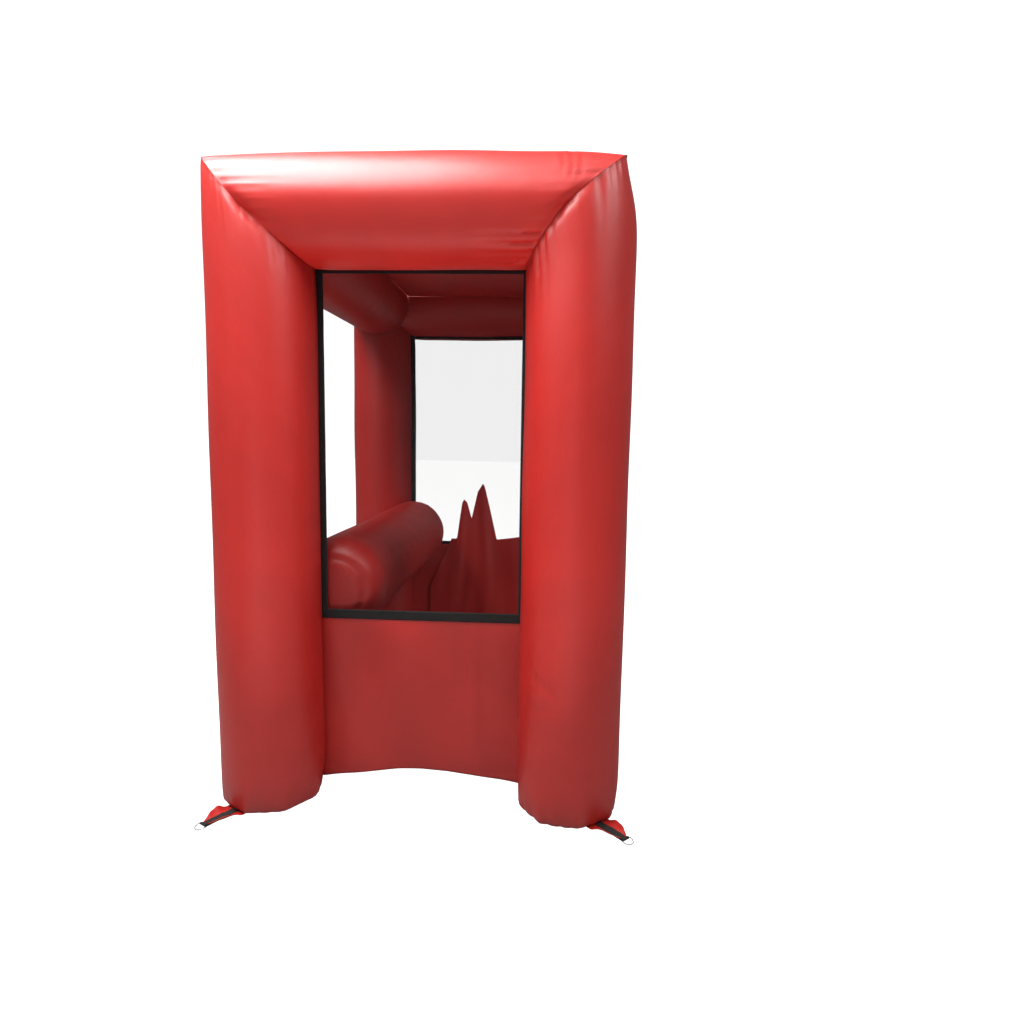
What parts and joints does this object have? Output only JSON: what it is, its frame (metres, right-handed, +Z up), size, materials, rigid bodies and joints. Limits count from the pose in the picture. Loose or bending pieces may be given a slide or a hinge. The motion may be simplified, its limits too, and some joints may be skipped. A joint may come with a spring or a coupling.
{
  "type": "air-blown photo booth",
  "caption": "Walk-in air-blown booth: fat red fabric columns and beams, clear windows bound in black, an inflated side bolster, ground anchors and a blower behind.",
  "frame": {"origin": "middle of the booth's footprint, on the underside of the ground sheet", "axes": "+Z up, front towards -Y, doorway towards +X, blower towards +Y"},
  "size_m": [1.596, 3.1231, 2.325],
  "materials": {
    "red_tarpaulin": "satin",
    "clear_film": "gloss",
    "black_webbing": "matte",
    "zinc_steel": "satin",
    "blower_plastic": "satin",
    "black_plastic": "matte",
    "rubber_foot": "matte"
  },
  "bodies": {
    "booth": {"anchor_leaf_back_left": "red_tarpaulin", "anchor_leaf_back_right": "red_tarpaulin", "anchor_leaf_front_left": "red_tarpaulin", "anchor_leaf_front_right": "red_tarpaulin", "anchor_webbing_back_left": "black_webbing", "anchor_webbing_back_right": "black_webbing", "anchor_webbing_front_left": "black_webbing", "anchor_webbing_front_right": "black_webbing", "beam_back": "red_tarpaulin", "beam_front": "red_tarpaulin", "beam_left": "red_tarpaulin", "beam_right": "red_tarpaulin", "binding_back": "black_webbing", "binding_front": "black_webbing", "blower_foot_1": "rubber_foot", "blower_foot_2": "rubber_foot", "blower_foot_3": "rubber_foot", "blower_foot_4": "rubber_foot", "blower_housing_left": "blower_plastic", "blower_housing_right": "blower_plastic", "bolster_left": "red_tarpaulin", "carrying_handle": "black_plastic", "column_back_left": "red_tarpaulin", "column_back_right": "red_tarpaulin", "column_front_left": "red_tarpaulin", "column_front_right": "red_tarpaulin", "ground_sheet": "red_tarpaulin", "inlet_grille": "black_plastic", "inlet_pin_1": "zinc_steel", "inlet_pin_2": "zinc_steel", "inlet_pin_3": "zinc_steel", "intake_sleeve": "red_tarpaulin", "intake_strap": "black_webbing", "lower_panel_back": "red_tarpaulin", "lower_panel_front": "red_tarpaulin", "lower_panel_left": "red_tarpaulin", "mains_inlet": "black_plastic", "motor": "zinc_steel", "outlet_collar": "black_plastic", "roof_sheet": "red_tarpaulin", "slack_liner": "red_tarpaulin", "strap_buckle": "black_plastic", "switch_box": "black_plastic", "window_back": "clear_film", "window_front": "clear_film", "zip_tape": "black_webbing"},
    "d_ring_front_left": {"d_ring_front_left": "zinc_steel"},
    "d_ring_front_right": {"d_ring_front_right": "zinc_steel"},
    "d_ring_back_left": {"d_ring_back_left": "zinc_steel"},
    "d_ring_back_right": {"d_ring_back_right": "zinc_steel"},
    "zip_slider": {"zip_slider": "zinc_steel"},
    "zip_pull": {"zip_pull": "zinc_steel"},
    "impeller": {"impeller": "black_plastic"},
    "rocker": {"rocker": "black_plastic"}
  },
  "joints": [
    {"name": "d_ring_front_left_swing", "type": "hinge", "parent": "booth", "child": "d_ring_front_left", "pos_m": [-0.71285, -1.16306, 0.0072], "axis": [-0.8572, 0.515, 0], "range_deg": [0, 150]},
    {"name": "d_ring_front_right_swing", "type": "hinge", "parent": "booth", "child": "d_ring_front_right", "pos_m": [0.75799, -1.12967, 0.0072], "axis": [-0.7431, -0.6691, 0], "range_deg": [0, 150]},
    {"name": "d_ring_back_left_swing", "type": "hinge", "parent": "booth", "child": "d_ring_back_left", "pos_m": [-0.76911, 1.11911, 0.0072], "axis": [0.7071, 0.7071, 0], "range_deg": [0, 150]},
    {"name": "d_ring_back_right_swing", "type": "hinge", "parent": "booth", "child": "d_ring_back_right", "pos_m": [0.76911, 1.11911, 0.0072], "axis": [0.7071, -0.7071, 0], "range_deg": [0, 150]},
    {"name": "zip_slider_run", "type": "slide", "parent": "booth", "child": "zip_slider", "axis": [0, 0, -1], "range_m": [0, 0.27]},
    {"name": "zip_pull_swing", "type": "hinge", "parent": "zip_slider", "child": "zip_pull", "pos_m": [-0.562, 1.10705, 0.558], "axis": [1, 0, 0], "range_deg": [0, 150]},
    {"name": "impeller_spin", "type": "hinge", "parent": "booth", "child": "impeller", "pos_m": [0.562, 1.74, 0.24], "axis": [1, 0, 0], "continuous": true},
    {"name": "rocker_tilt", "type": "hinge", "parent": "booth", "child": "rocker", "pos_m": [0.7093, 1.555, 0.17], "axis": [0, -1, 0], "range_deg": [0, 16]}
  ]
}
